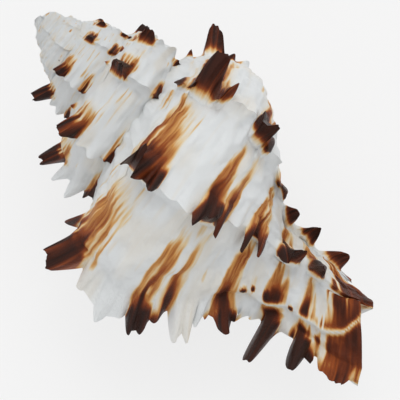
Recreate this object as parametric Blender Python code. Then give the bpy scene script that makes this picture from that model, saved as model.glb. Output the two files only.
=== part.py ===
# Murex shell: a spiral horn that grew round an axis and stopped every 50 to 65 degrees to make
# a varix, a raised edge that carries a row of folded fronds. Metres, +Z up.
# The coil axis runs along X with the apex towards -X and the canal towards +X. The back of the
# shell is up, the outer lip is towards -Y and the aperture faces down. It rests on its fronds.

import math

import bmesh
import bpy
import numpy as np
from mathutils import Matrix

MM = 0.001

# Growth. Every whorl is the last one, made smaller about a pole on the axis beyond the apex.
WHORL_RATIO = 1.68
APEX_ANGLE = -1800.0  # growth angle of the oldest edge, in degrees, the lip being 0
LIP_BEARING = 80.0  # place of the lip round the axis, in degrees from the top towards -Y

# Place of the pole in the part's frame, and how the shell leans on its fronds, in degrees
POLE = (-0.0534, 0.0065, 0.029)
REST_PITCH = 12.0
REST_ROLL = 6.6

# Wall at the lip, from the suture to the end of the canal, in millimetres and degrees:
# distance from the pole along the axis, radius, and how far the edge lags round the axis
WALL = [
    (35.5, 12.5, 0),
    (36.5, 15.4, 0),
    (39.6, 19.6, 1),
    (43.2, 25.2, 2),
    (49.5, 28.0, 0),
    (56.2, 29.0, -3),
    (62.7, 25.6, -6),
    (67.8, 21.5, -12),
    (72.2, 17.2, -18),
    (76.8, 13.6, -22),
    (81.9, 11.4, -26),
    (88.4, 11.2, -39),
    (98.5, 11.2, -49),
    (104.2, 12.4, -61),
]
# Hidden side of the same ring, from the end of the canal back past the axis to the suture
CORE = [
    (102.5, 8.5, -58), (98.0, 4.5, -49), (90.0, 1.0, -40), (80.0, -1.0, -24), (50.0, -1.0, 0), (38.0, -1.0, 0),
]

# Growth angles of the varices, from the lip back to the apex
VARICES = [
    0, -65, -116, -172, -232, -288, -345, -394, -454, -500, -553, -605, -657, -710, -765, -822,
    -860, -905, -950, -1000, -1050, -1100, -1150, -1200, -1250, -1300, -1400, -1500,
]
BACK_FOOT = 10.0  # degrees over which a frond rises from the wall
FRONT_FOOT = 5.0  # degrees over which it drops to the next stretch of wall
EDGE_STEP = 0.8  # degrees between the two faces of a frond's edge
FLARE = 0.09  # how much wider the shell is at a varix
BACK_FLARE = 0.49  # share of the flare that is reached at the back foot of the fronds
RIB_SWELL = 0.035  # height of a rib at a varix, as a share of the radius
RIB_SPREAD = 1.6  # width of the swelling, as a share of the rib's half width

# Fingers of a varix, in millimetres at the lip: place along the axis, height, half width,
# bluntness, shift of the tip towards the canal, and shift of the tip towards the growing edge.
# Each of the four varices in full view has its own row of fronds.
LIP_FRONDS = [
    (41.0, 5.0, 1.1, 1.5, 1.0, 3.5), (43.4, 7.8, 1.8, 3.0, 1.0, -1.0),
    (44.6, 8.0, 2.4, 4.0, 0.2, -1.0), (46.0, 9.0, 2.0, 2.5, -0.4, -1.0),
    (50.2, 3.4, 2.4, 2.0, 0.9, 0.5), (53.0, 2.8, 2.8, 2.0, 1.2, 0.5),
    (55.4, 5.0, 3.2, 2.4, 2.0, 0.5), (58.6, 2.6, 2.4, 2.0, 1.2, 0.5),
    (61.1, 5.9, 1.6, 3.5, 0.7, 1.5), (62.5, 5.7, 1.8, 3.0, 1.0, 1.0),
    (64.6, 2.4, 1.6, 2.0, 0.7, 1.0), (67.6, 8.2, 1.4, 3.0, 0.3, 0.5),
    (68.9, 7.4, 1.5, 3.0, 0.7, 0.5), (70.6, 4.6, 1.2, 3.0, -1.0, -1.0),
    (71.8, 2.0, 1.0, 1.5, 0.0, 1.0), (73.8, 5.5, 2.0, 2.5, 2.2, 1.0),
    (75.4, 2.6, 1.2, 2.0, 1.0, 0.5), (77.6, 1.6, 0.9, 1.6, -0.8, 3.0),
    (79.6, 1.0, 1.2, 2.0, -0.6, 0.5), (83.5, 11.5, 1.8, 4.0, 0.9, 0.5),
    (90.8, 8.2, 1.9, 4.0, 1.7, 0.5), (91.9, 2.6, 1.9, 4.0, 2.3, 0.5),
    (96.2, 2.6, 1.7, 3.0, 1.2, 0.5), (98.5, 3.2, 2.4, 3.0, 2.1, 0.5),
    (100.6, 3.4, 2.2, 3.0, 1.9, 0.5),
]
SECOND_FRONDS = [
    (45.0, 8.0, 2.0, 3.0, 0.0, -7.5), (43.6, 7.0, 1.6, 2.0, 2.2, 0.5),
    (46.6, 6.5, 1.7, 2.0, 0.9, 1.1), (49.4, 5.0, 1.8, 2.2, 2.2, 1.2),
    (53.6, 2.0, 2.0, 2.0, 1.6, 0.5), (58.2, 2.2, 2.4, 2.0, 1.5, 1.0),
    (61.0, 6.0, 1.6, 1.8, -1.8, 2.2), (62.9, 6.5, 2.6, 3.0, -2.0, -2.0),
    (65.2, 6.0, 1.7, 1.8, -0.2, 3.3), (68.8, 1.2, 1.8, 2.0, 0.0, 0.5),
    (72.0, 4.0, 1.4, 1.8, 0.5, 5.5), (75.2, 4.5, 1.6, 1.8, 1.1, 3.9),
    (80.8, 5.0, 2.0, 2.5, 1.8, 1.1), (83.0, 6.0, 2.6, 3.0, 0.5, -2.5),
    (89.6, 6.5, 2.5, 3.0, 0.3, 0.9), (97.6, 1.0, 4.0, 3.0, 1.0, 0.5),
]
THIRD_FRONDS = [
    (40.6, 4.0, 1.2, 1.5, 2.4, 3.6), (42.4, 3.0, 1.2, 1.5, 3.0, 3.6),
    (44.4, 9.0, 1.8, 4.0, 0.6, -5.0), (46.0, 9.5, 1.8, 4.0, 0.6, -6.0),
    (48.0, 3.5, 1.4, 1.5, 2.4, 3.5), (49.8, 5.0, 1.6, 1.6, 1.2, -3.0),
    (53.6, 2.0, 2.0, 2.0, 0.0, 0.5), (57.4, 2.2, 2.0, 2.0, 0.0, 0.5),
    (60.2, 6.0, 1.4, 1.5, -5.0, 1.0), (62.6, 7.4, 2.2, 3.0, -3.0, 0.0),
    (61.8, 4.0, 1.0, 1.5, -3.0, 5.0), (65.8, 3.6, 1.4, 1.6, -1.0, 4.5),
    (69.0, 2.4, 1.9, 2.0, 0.4, 0.5), (72.8, 1.8, 1.6, 3.0, 2.2, 3.0),
    (76.2, 4.3, 2.3, 2.2, -1.2, 4.0), (81.4, 4.9, 2.7, 2.2, 0.4, 1.6),
    (88.6, 4.8, 2.8, 2.4, 0.6, 2.0), (97.0, 4.6, 3.5, 2.5, 2.4, 0.0),
]
FOURTH_FRONDS = [
    (39.6, 2.9, 1.3, 1.5, 1.2, 0.5), (42.6, 8.2, 1.7, 4.0, 0.2, -1.0),
    (43.8, 7.9, 1.7, 4.0, -1.0, -1.0), (47.2, 1.8, 1.2, 1.8, 0.3, 0.5),
    (50.8, 1.6, 1.8, 2.0, 0.6, 0.5), (55.8, 0.4, 2.0, 2.0, 1.1, 0.5),
    (59.2, 1.2, 2.0, 2.0, 1.1, 0.5), (64.0, 0.6, 3.0, 2.5, 0.0, 0.5),
    (72.8, 0.6, 2.2, 2.5, 0.0, 0.5), (82.0, 3.4, 2.2, 2.5, 0.8, 0.5),
    (89.0, 4.4, 2.3, 2.5, 1.0, 0.5), (97.4, 7.0, 3.0, 2.5, 2.4, 0.5),
]
UNDERSIDE_FRONDS = [
    (39.6, 5.5, 1.3, 1.3, -1.0, 0.5), (44.3, 7.0, 4.3, 4.0, 0.8, -1.0),
    (43.0, 9.0, 1.9, 1.8, 2.0, -1.0), (45.8, 10.0, 2.0, 1.8, 0.3, -1.0),
    (50.4, 4.5, 2.0, 1.6, 0.0, 0.5), (56.4, 6.0, 2.6, 2.0, 0.0, 0.5),
    (62.8, 5.5, 3.6, 3.5, 0.3, 1.5), (61.2, 8.0, 1.8, 1.6, -0.2, 2.0),
    (64.9, 7.0, 1.7, 1.6, 1.0, 2.5), (68.3, 8.0, 2.0, 2.2, 0.6, 1.0),
    (72.8, 8.5, 2.4, 3.0, 3.5, 2.0), (76.2, 4.5, 1.2, 1.5, 1.0, 1.0),
    (82.0, 11.0, 2.2, 3.0, 0.8, 1.0), (89.0, 9.0, 2.3, 3.0, 2.6, 1.0),
    (98.0, 5.0, 4.4, 3.5, 1.6, 0.5), (96.4, 7.0, 1.8, 1.6, 2.0, 0.5),
    (99.8, 9.0, 1.9, 1.6, 1.2, 0.5),
]
SEVENTH_FRONDS = [
    (39.8, 3.6, 1.2, 1.5, 0.0, 0.5), (43.6, 9.0, 2.0, 3.0, 1.6, -1.0),
    (45.6, 9.2, 1.9, 3.0, -0.2, -1.0), (50.6, 6.6, 2.8, 2.0, -0.4, 0.5),
    (56.4, 6.0, 3.4, 2.0, -1.2, 0.5), (60.6, 4.2, 1.8, 1.8, -2.0, 0.5),
    (63.0, 3.6, 2.4, 2.5, -0.6, 0.5), (66.0, 2.0, 1.6, 2.0, 0.0, 0.5),
    (73.0, 0.3, 2.4, 3.0, 0.0, 0.5), (90.0, 0.3, 4.0, 3.0, 0.0, 0.5),
]
SPIRE_FRONDS = [
    (39.4, 2.6, 1.4, 1.5, 0.0, 0.5), (43.6, 8.2, 2.0, 3.0, 1.6, -1.0),
    (45.6, 8.6, 1.9, 3.0, -0.2, -1.0), (50.4, 2.4, 2.6, 2.0, 0.0, 0.5),
    (56.0, 2.6, 3.4, 2.0, 0.0, 0.5), (60.8, 3.2, 1.8, 2.0, -1.0, 0.5),
    (63.0, 3.0, 2.4, 2.5, -0.6, 0.5), (66.0, 1.6, 1.6, 2.0, 0.0, 0.5),
    (73.0, 0.3, 2.4, 3.0, 0.0, 0.5), (90.0, 0.3, 4.0, 3.0, 0.0, 0.5),
]
FRONDS_OF = [
    LIP_FRONDS, SECOND_FRONDS, THIRD_FRONDS, FOURTH_FRONDS, UNDERSIDE_FRONDS, UNDERSIDE_FRONDS, SEVENTH_FRONDS,
]
# Varices that differ: number from the lip, first and last place along the axis, share of the
# height that is left, and added shift towards the growing edge in millimetres
CHANGED = [
    (4, 38.0, 60.0, 0.6, 0.0),
    (4, 60.0, 67.0, 0.5, 0.0),
    (4, 67.0, 80.0, 1.15, 1.0),
    (4, 80.0, 104.0, 1.3, 0.0),
    (5, 67.0, 104.0, 0.05, 0.0),
    (9, 38.0, 50.0, 0.55, 0.0),
    (10, 38.0, 50.0, 0.6, 0.0),
    (13, 38.0, 50.0, 1.5, 0.0),
    (15, 38.0, 50.0, 0.5, 0.0),
    (16, 38.0, 50.0, 0.5, 0.0),
    (22, 38.0, 50.0, 0.3, 0.0),
    (23, 38.0, 50.0, 0.3, 0.0),
]
VARIED_VARIX = 4  # from this varix back, heights vary a little
HEIGHT_RANGE = (0.88, 1.08)
SEED = 40
OLDEST_VARIX = 17  # from this varix back, the fronds are worn nearly flat
WORN_HEIGHT = {15: 0.6, 16: 0.4, OLDEST_VARIX: 0.2}  # share of the height left
VARIX_FLARE = {1: 0.7, 2: 0.8, 3: 0.2}  # share of the usual flare at a varix that differs
LEFTOVER = 0.35  # share of the flare that fades out in front of a varix, where its crest is low
LOW_CREST = (0.6, 3.0)  # heights at which a crest counts as low and as tall, in millimetres
LEAN_IN = 0.25  # how much a finger narrows towards its tip
CURL = 2.6  # how far a frond's edges fold towards the growing edge, for one 10 mm tall
BACKWARD = -1.5  # a finger that leans back more than this bends near its tip, others at the foot

APEX_START = -850.0  # from here back to the apex the whorls are wider than the growth gives
APEX_SPAN = 450.0
APEX_WIDER = 0.08
APEX_SHIFT = 2.0  # and the coil leans this many millimetres to the lip's side at the apex
WAIST_DEPTH = 4.6  # how far the canal's end draws back between two varices, in millimetres
WAIST_START = 88.0
CANAL_THINNER = 0.2  # the canal of the older varices in view is thinner by this share
THINNER_FROM = (75.0, 84.0)  # place along the axis over which that begins
THINNER_ANGLES = (-66.0, -90.0, -190.0, -230.0)  # growth angles over which it begins and ends
SUTURE_WIDTH = 12.0  # length of wall over which the flare fades out at the suture
RIBS = [
    (44.0, 3.2), (50.2, 2.0), (56.4, 2.4), (63.2, 3.0), (68.3, 1.8), (72.6, 2.2), (82.2, 2.2), (89.0, 2.2),
    (97.2, 3.2),
]

# Aperture at the lip, in millimetres: an oval that narrows as it winds inwards
THROAT_CENTRE = (54.0, 16.6)
THROAT_HALF = (13.5, 7.8)
THROAT_ANGLES = (22.0, -250.0)
# Slit of the canal, from the aperture to the tip
SLIT = [
    (64.0, 13.0, -8), (70.0, 10.0, -15), (78.0, 8.2, -24), (88.0, 7.2, -38), (98.0, 7.8, -49),
    (106.0, 9.6, -62),
]
SLIT_HALF = 1.3
SLIT_ANGLES = (8.0, -11.0)

WALL_COLUMNS = 120
SOFTEN = 9  # columns on each side over which the wall's direction is averaged
CORE_COLUMNS = 10
WALL_ROWS = 9
BACK_ROWS = 6
FRONT_ROWS = 4
VOXEL = 0.75 * MM
KEEP = 0.11  # share of the remeshed faces that is kept

SHELL_COLOUR = (0.78, 0.76, 0.72)


def curve(points, at):
    """Smooth curve through the points, at the given shares of its length."""
    points = np.array(points, float)
    steps = np.hypot(np.diff(points[:, 0]), np.diff(points[:, 1]))
    knots = np.concatenate([[0.0], np.cumsum(steps)])
    where = np.asarray(at) * knots[-1]
    slopes = np.gradient(points, knots, axis=0)
    i = np.clip(np.searchsorted(knots, where, side="right") - 1, 0, len(knots) - 2)
    width = (knots[i + 1] - knots[i])[:, None]
    t = ((where - knots[i]) / (knots[i + 1] - knots[i]))[:, None]
    a, b = points[i], points[i + 1]
    rise = slopes[i] * width * t * (1 - t) ** 2 - slopes[i + 1] * width * t**2 * (1 - t)
    return a + (b - a) * t**2 * (3 - 2 * t) + rise


def growth(angle):
    """Size at a growth angle, the lip being 1."""
    return WHORL_RATIO ** (np.asarray(angle, float) / 360.0)


def bump(x, centre, half, blunt):
    """Height of a finger of unit height, 0 outside its half width."""
    return np.clip(1.0 - np.abs((x - centre) / half) ** blunt, 0.0, None)


def smooth(low, high, x):
    """Smooth step from 0 at low to 1 at high."""
    t = np.clip((x - low) / (high - low), 0, 1)
    return t * t * (3 - 2 * t)


def fingers_of(varix):
    """Finger rows of one varix, with the heights that differ."""
    random = np.random.default_rng(SEED + varix)
    made = []
    for place, tall, half, blunt, shift, ahead in FRONDS_OF[varix] if varix < len(FRONDS_OF) else SPIRE_FRONDS:
        if varix >= VARIED_VARIX:
            tall = tall * random.uniform(*HEIGHT_RANGE)
        tall = tall * WORN_HEIGHT.get(min(varix, OLDEST_VARIX), 1.0)
        for number, first, last, left, more in CHANGED:
            if number == varix and first < place < last:
                tall, ahead = tall * left, ahead + more
        made.append((place, tall, half, blunt, shift, ahead))
    return made


def crest_of(varix, axial, along, tangent):
    """Crest for each column: height, step along the axis and outwards, shift ahead and fold. A
    finger stands along the wall's normal at its own middle."""
    crest = np.zeros((5, len(axial)))
    for place, tall, half, blunt, shift, ahead in fingers_of(varix):
        centre = np.interp(place, axial, along)
        shape = bump(along, centre, half, blunt)
        slope_x, slope_r = (np.interp(centre, along, t) for t in tangent)
        side = shift * shape - LEAN_IN * (along - centre) * shape
        step_x = -tall * shape * slope_r + side * slope_x
        step_r = tall * shape * slope_x + side * slope_r
        fold = CURL * ((along - centre) / half) ** 2 * tall / 10.0
        finger = np.stack([tall * shape, step_x, step_r, ahead * shape, fold])
        crest = np.where(finger[0] > crest[0], finger, crest)
    return crest


def rows_of():
    """One entry for each row: growth angle, varix ahead, flare, rib, rise, stretch and front. The
    rib and the stretch grow from 0 behind a varix to 1 at the next, the rise is that of the
    fronds, and the front is 1 on their forward face."""
    rows = []
    older = APEX_ANGLE
    for number in reversed(range(len(VARICES))):
        edge = VARICES[number]
        start = older + (FRONT_FOOT if rows else 0.0)
        end = edge - BACK_FOOT
        for share in np.linspace(0, 1, WALL_ROWS, endpoint=False):
            flare = BACK_FLARE * smooth(0.4, 1.0, share)
            rows.append((start + (end - start) * share, number, flare, share, 0.0, share, 0.0))
        for rise in np.linspace(0, 1, BACK_ROWS + 1):
            flare = BACK_FLARE + (1 - BACK_FLARE) * rise
            rows.append((edge - BACK_FOOT * (1 - rise) ** 1.5, number, flare, 1.0, rise, 1.0, 0.0))
        for rise in np.linspace(1, 0, FRONT_ROWS + 1)[1:]:
            rows.append((edge, number, rise, rise, rise, 1.0, 1.0))
        older = edge
    return np.array(rows)


def place(axial, radius, angle, ahead=0.0):
    """Point in the part's frame from millimetres along the axis, radius, bearing and a
    step ahead in the direction of growth."""
    turn = np.radians(angle)
    x = axial
    y = -radius * np.sin(turn) - ahead * np.cos(turn)
    z = radius * np.cos(turn) - ahead * np.sin(turn)
    return np.stack([x, y, z], axis=-1) * MM


def resting():
    """Turn and shift from the axis frame to the frame in which the shell rests."""
    lean = Matrix.Rotation(math.radians(REST_PITCH), 4, "Y") @ Matrix.Rotation(math.radians(REST_ROLL), 4, "X")
    return Matrix.Translation(POLE) @ lean


def horn_points():
    """Rings of the horn, one for each row, as an array of rows by columns by 3."""
    at = np.linspace(0, 1, WALL_COLUMNS)
    axial, radius, lag = curve(WALL, at).T
    along = np.concatenate([[0.0], np.cumsum(np.hypot(np.diff(axial), np.diff(radius)))])
    tangent = np.stack([np.gradient(axial, along), np.gradient(radius, along)])
    window = np.hanning(2 * SOFTEN + 1) / np.hanning(2 * SOFTEN + 1).sum()
    tangent = np.stack([np.convolve(np.pad(t, SOFTEN, mode="edge"), window, mode="valid") for t in tangent])
    tangent /= np.hypot(*tangent)
    ribs = sum(bump(along, np.interp(p, axial, along), RIB_SPREAD * half, 2.0) for p, half in RIBS)
    crests = np.array([crest_of(v, axial, along, tangent) for v in range(len(VARICES))])
    shares = np.array([VARIX_FLARE.get(k, 1.0) for k in range(len(VARICES))])[:, None]

    base, varix, flare, rib, rise, stretch, front = (column[:, None] for column in rows_of().T)
    number = varix[:, 0].astype(int)
    older = np.minimum(number + 1, len(VARICES) - 1)
    height, step_x, step_r, forward, fold = (crests[number, k] for k in range(5))
    low = 1 - smooth(*LOW_CREST, height)
    low_older = 1 - smooth(*LOW_CREST, crests[older, 0])
    drop = low * (1 - rise) ** 1.4 + (1 - low) * (1 - rise) ** 3
    angle = base + front * (EDGE_STEP + (FRONT_FOOT - EDGE_STEP) * drop)
    size = growth(angle)
    tall = growth(np.array(VARICES)[number])[:, None] * rise
    early = np.clip((APEX_START - angle) / APEX_SPAN, 0, 1)
    apex = 1 + APEX_WIDER * early
    ahead_of_older = low_older * shares[older] * (1 - smooth(0.0, 0.4, rib))
    fading = np.where(front > 0, low * shares[number] * (1 - rise), ahead_of_older)
    swell = FLARE * (shares[number] * flare + LEFTOVER * fading) * np.clip(along / SUTURE_WIDTH, 0, 1)
    first, full, late, last = THINNER_ANGLES
    thin = smooth(*THINNER_FROM, axial) * smooth(-first, -full, -angle) * (1 - smooth(-late, -last, -angle))
    wide = apex - CANAL_THINNER * thin + swell + RIB_SWELL * rib * ribs
    drawn = WAIST_DEPTH * smooth(0.0, 0.1, stretch) * (1 - stretch)
    canal = WALL[-1][0] - WAIST_START
    drawn_axial = axial - drawn * np.clip((axial - WAIST_START) / canal, 0, 1)
    bent = np.where(forward < BACKWARD, forward * rise**1.5, forward * rise**0.6)
    ahead = (bent + fold * rise**0.5) * tall
    out_axial = drawn_axial * size + step_x * tall
    out_radius = radius * wide * size + step_r * tall
    outside = place(out_axial, out_radius, LIP_BEARING + angle + lag, ahead)

    core = curve([WALL[-1]] + CORE + [WALL[0]], np.linspace(0, 1, CORE_COLUMNS + 2)[1:-1])
    core_axial = core[:, 0] - drawn * np.clip((core[:, 0] - WAIST_START) / canal, 0, 1)
    angle = base + front * (EDGE_STEP + (FRONT_FOOT - EDGE_STEP) * (1 - rise) ** 1.4)
    size, early = growth(angle), np.clip((APEX_START - angle) / APEX_SPAN, 0, 1)
    apex = 1 + APEX_WIDER * early
    inside = place(core_axial * size, core[:, 1] * size * apex, LIP_BEARING + angle + core[:, 2])
    rings = np.concatenate([outside, inside], axis=1)
    rings[:, :, 1] -= APEX_SHIFT * MM * early
    return rings


def tube(name, rings):
    """Closed mesh object through a stack of rings, an array of rows by columns by 3."""
    count, around, _ = rings.shape
    first = np.arange(count - 1)[:, None] * around
    near = np.arange(around)[None, :]
    far = (near + 1) % around
    quads = np.stack([first + near, first + far, first + far + around, first + near + around], axis=-1)
    faces = [tuple(q) for q in quads.reshape(-1, 4).tolist()]
    faces.append(tuple(range(around))[::-1])
    faces.append(tuple(range((count - 1) * around, count * around)))
    mesh = bpy.data.meshes.new(name)
    mesh.from_pydata(rings.reshape(-1, 3).tolist(), [], faces)
    mesh.transform(resting())
    outward = bmesh.new()
    outward.from_mesh(mesh)
    bmesh.ops.recalc_face_normals(outward, faces=outward.faces)
    outward.to_mesh(mesh)
    outward.free()
    item = bpy.data.objects.new(name, mesh)
    bpy.context.collection.objects.link(item)
    return item


def cutter(name, rings):
    """Closed mesh object that only cuts."""
    item = tube(name, rings)
    item.hide_render = True
    item.display_type = "WIRE"
    return item


def throat():
    """Hollow behind the aperture: an oval swept back along the growth spiral."""
    angle = np.linspace(*THROAT_ANGLES, 40)[:, None]
    turn = np.linspace(0, 2 * math.pi, 20, endpoint=False)
    axial = THROAT_CENTRE[0] + THROAT_HALF[0] * np.cos(turn)
    radius = THROAT_CENTRE[1] + THROAT_HALF[1] * np.sin(turn)
    size = growth(angle)
    return cutter("throat_cutter", place(axial * size, radius * size, LIP_BEARING + angle + 0 * axial))


def slit():
    """Slot along the canal, open towards the aperture side."""
    middle = curve(SLIT, np.linspace(0, 1, 14))
    rings = []
    for axial, radius, lag in middle:
        corners = []
        for angle, step in ((0, -1), (0, 1), (1, 1), (1, -1)):
            bearing = LIP_BEARING + lag + SLIT_ANGLES[angle]
            corners.append(place(axial, radius + step * SLIT_HALF, bearing))
        rings.append(corners)
    return cutter("slit_cutter", np.array(rings))


def floor_cutter():
    """Block whose top is the surface that the shell rests on."""
    corners = np.array([(-0.08, -0.08), (0.08, -0.08), (0.08, 0.08), (-0.08, 0.08)])
    rings = [[(x, y, z) for x, y in corners] for z in (-0.02, 0.0)]
    item = cutter("floor_cutter", np.array(rings))
    item.data.transform(resting().inverted())
    return item


def material(name, colour, roughness):
    """Principled material of one colour."""
    item = bpy.data.materials.new(name)
    item.use_nodes = True
    shader = item.node_tree.nodes["Principled BSDF"]
    shader.inputs["Base Color"].default_value = (*colour, 1.0)
    shader.inputs["Roughness"].default_value = roughness
    return item


def cut(item, tool):
    """Subtract a cutter from an object."""
    step = item.modifiers.new(tool.name, "BOOLEAN")
    step.operation = "DIFFERENCE"
    step.solver = "EXACT"
    step.object = tool


def build():
    for item in list(bpy.data.objects):
        bpy.data.objects.remove(item, do_unlink=True)
    shell = tube("murex_shell", horn_points())
    fuse = shell.modifiers.new("fuse", "REMESH")
    fuse.mode = "VOXEL"
    fuse.voxel_size = VOXEL
    thin = shell.modifiers.new("thin", "DECIMATE")
    thin.ratio = KEEP
    for tool in (throat(), slit(), floor_cutter()):
        cut(shell, tool)
    shell.data.materials.append(material("shell", SHELL_COLOUR, 0.4))


build()
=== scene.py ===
# Murex shell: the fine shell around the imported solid, its glaze, the light and the camera.
# The shell is a horn swept round a spiral. Every whorl is the last one made smaller about a pole,
# and at each varix the wall rises into a row of folded fronds.
import math

import bpy
import numpy as np
from mathutils import Matrix


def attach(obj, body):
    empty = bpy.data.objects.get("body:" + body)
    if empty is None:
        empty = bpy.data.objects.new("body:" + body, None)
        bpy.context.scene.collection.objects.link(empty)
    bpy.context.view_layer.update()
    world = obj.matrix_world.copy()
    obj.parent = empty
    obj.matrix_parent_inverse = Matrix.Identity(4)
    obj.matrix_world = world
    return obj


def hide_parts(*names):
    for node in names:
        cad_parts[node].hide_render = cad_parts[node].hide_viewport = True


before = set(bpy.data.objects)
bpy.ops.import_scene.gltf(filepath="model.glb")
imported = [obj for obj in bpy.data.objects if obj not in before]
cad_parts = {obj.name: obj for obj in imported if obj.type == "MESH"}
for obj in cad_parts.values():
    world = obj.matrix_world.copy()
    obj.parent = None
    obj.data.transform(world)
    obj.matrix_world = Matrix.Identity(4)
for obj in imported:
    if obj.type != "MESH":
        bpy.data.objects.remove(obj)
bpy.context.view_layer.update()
mm = 0.001

# How the horn grows. Lengths are millimetres at the size of the lip. Angles are degrees of growth,
# 0 at the lip and negative behind it.
coil = {
    "whorlRatio": 1.68,
    "apexAngle": -1800.0,
    "lipBearing": 80.0,  # the lip's place round the axis, from the top towards the lip's side
    "pole": (-0.0534, 0.0065, 0.029),  # metres
    "top": 0.0500,  # metres, what stands above this is halved
    "pitch": 12.0,  # how the axis leans on the resting fronds
    "roll": 6.6,
    "backFoot": 10.0,
    "frontFoot": 5.0,
    "flare": 0.09,
    "apexStart": -850.0,  # from here to the apex the whorls are wider and lean to the lip's side
    "apexWider": 0.08,
    "apexShift": 2.0,
    "suturesFilled": 0.7,  # on the worn spire, share of the way from the wall to a straight cone
    "coneSlope": 0.565,
    "ribHeight": 0.035,  # share of the radius by which a rib stands up before a varix
    "backFlare": 0.49,  # share of the flare at the foot of a varix
}

# Wall at the lip: distance from the pole along the axis, radius, lag of the edge round the axis
wallLine = [
    (35.5, 12.5, 0), (36.5, 15.4, 0), (39.6, 19.6, 1), (43.2, 25.2, 2), (49.5, 28.0, 0),
    (56.2, 29.0, -3), (62.7, 25.6, -6), (67.8, 21.5, -12), (72.2, 17.2, -18), (76.8, 13.6, -22),
    (81.9, 11.4, -26), (88.4, 11.2, -39), (98.5, 11.2, -49), (104.2, 12.4, -61),
]
# Inner side of the ring, from the end of the canal back past the axis
coreLine = [
    (102.5, 8.5, -58), (98.0, 4.5, -49), (90.0, 1.0, -40), (80.0, -1.0, -24), (50.0, -1.0, 0),
    (38.0, -1.0, 0),
]

varixAngles = [
    0, -65, -116, -172, -232, -288, -345, -394, -454, -500, -553, -605, -657, -710, -765, -822,
    -860, -905, -950, -1000, -1050, -1100, -1150, -1200, -1250, -1300, -1400, -1500,
]

# Fingers of a varix: place along the axis, height, half width, bluntness, shift to the canal,
# shift to the growing edge, and how dark the finger is. The four varices in full view differ.
lipFronds = [
    (41.0, 5.0, 1.1, 1.5, 1.0, 3.5, 1.0), (43.4, 7.8, 1.8, 3.0, 1.0, -1.0, 1.0),
    (44.6, 8.0, 2.4, 4.0, 0.2, -1.0, 1.0), (46.0, 9.0, 2.0, 2.5, -0.4, -1.0, 1.0),
    (50.2, 3.4, 2.4, 2.0, 0.9, 0.5, 0.0), (53.0, 2.8, 2.8, 2.0, 1.2, 0.5, 0.0),
    (55.4, 5.0, 3.2, 2.4, 2.0, 0.5, 0.0), (58.6, 2.6, 2.4, 2.0, 1.2, 0.5, 0.0),
    (61.1, 5.9, 1.6, 3.5, 0.7, 1.5, 1.0), (62.5, 5.7, 1.8, 3.0, 1.0, 1.0, 1.0),
    (64.6, 2.4, 1.6, 2.0, 0.7, 1.0, 1.0), (67.6, 8.2, 1.4, 3.0, 0.3, 0.5, 0.0),
    (68.9, 7.4, 1.5, 3.0, 0.7, 0.5, 0.0), (70.6, 4.6, 1.2, 3.0, -1.0, -1.0, 0.0),
    (71.8, 2.0, 1.0, 1.5, 0.0, 1.0, 1.0), (73.8, 5.5, 2.0, 2.5, 2.2, 1.0, 1.0),
    (75.4, 2.6, 1.2, 2.0, 1.0, 0.5, 1.0), (77.6, 1.6, 0.9, 1.6, -0.8, 3.0, 1.0),
    (79.6, 1.0, 1.2, 2.0, -0.6, 0.5, 0.8), (83.5, 11.5, 1.8, 4.0, 0.9, 0.5, 1.0),
    (90.8, 8.2, 1.9, 4.0, 1.7, 0.5, 1.0), (91.9, 2.6, 1.9, 4.0, 2.3, 0.5, 1.0),
    (96.2, 2.6, 1.7, 3.0, 1.2, 0.5, 0.6), (98.5, 3.2, 2.4, 3.0, 2.1, 0.5, 0.8),
    (100.6, 3.4, 2.2, 3.0, 1.9, 0.5, 0.8),
]
secondFronds = [
    (45.0, 8.0, 2.0, 3.0, 0.0, -7.5, 1.0), (43.6, 7.0, 1.6, 2.0, 2.2, 0.5, 1.0),
    (46.6, 6.5, 1.7, 2.0, 0.9, 1.1, 1.0), (49.4, 5.0, 1.8, 2.2, 2.2, 1.2, 1.0),
    (53.6, 1.4, 3.0, 2.0, 1.2, 0.5, 0.0), (58.2, 1.4, 3.0, 2.0, 1.2, 1.0, 0.0),
    (61.0, 6.0, 1.6, 1.8, -1.8, 2.2, 1.0), (62.9, 6.5, 2.6, 3.0, -2.0, -2.0, 1.0),
    (65.2, 6.0, 1.7, 1.8, -0.2, 3.3, 1.0), (68.8, 1.2, 1.8, 2.0, 0.0, 0.5, 0.0),
    (72.0, 4.0, 1.4, 1.8, 0.5, 5.5, 1.0), (75.2, 4.5, 1.6, 1.8, 1.1, 3.9, 1.0),
    (80.8, 5.0, 2.0, 2.5, 1.8, 1.1, 1.0), (83.0, 6.0, 2.6, 3.0, 0.5, -2.5, 1.0),
    (89.6, 6.5, 2.5, 3.0, 0.3, 0.9, 1.0), (97.6, 1.0, 4.0, 3.0, 1.0, 0.5, 0.8),
]
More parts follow.
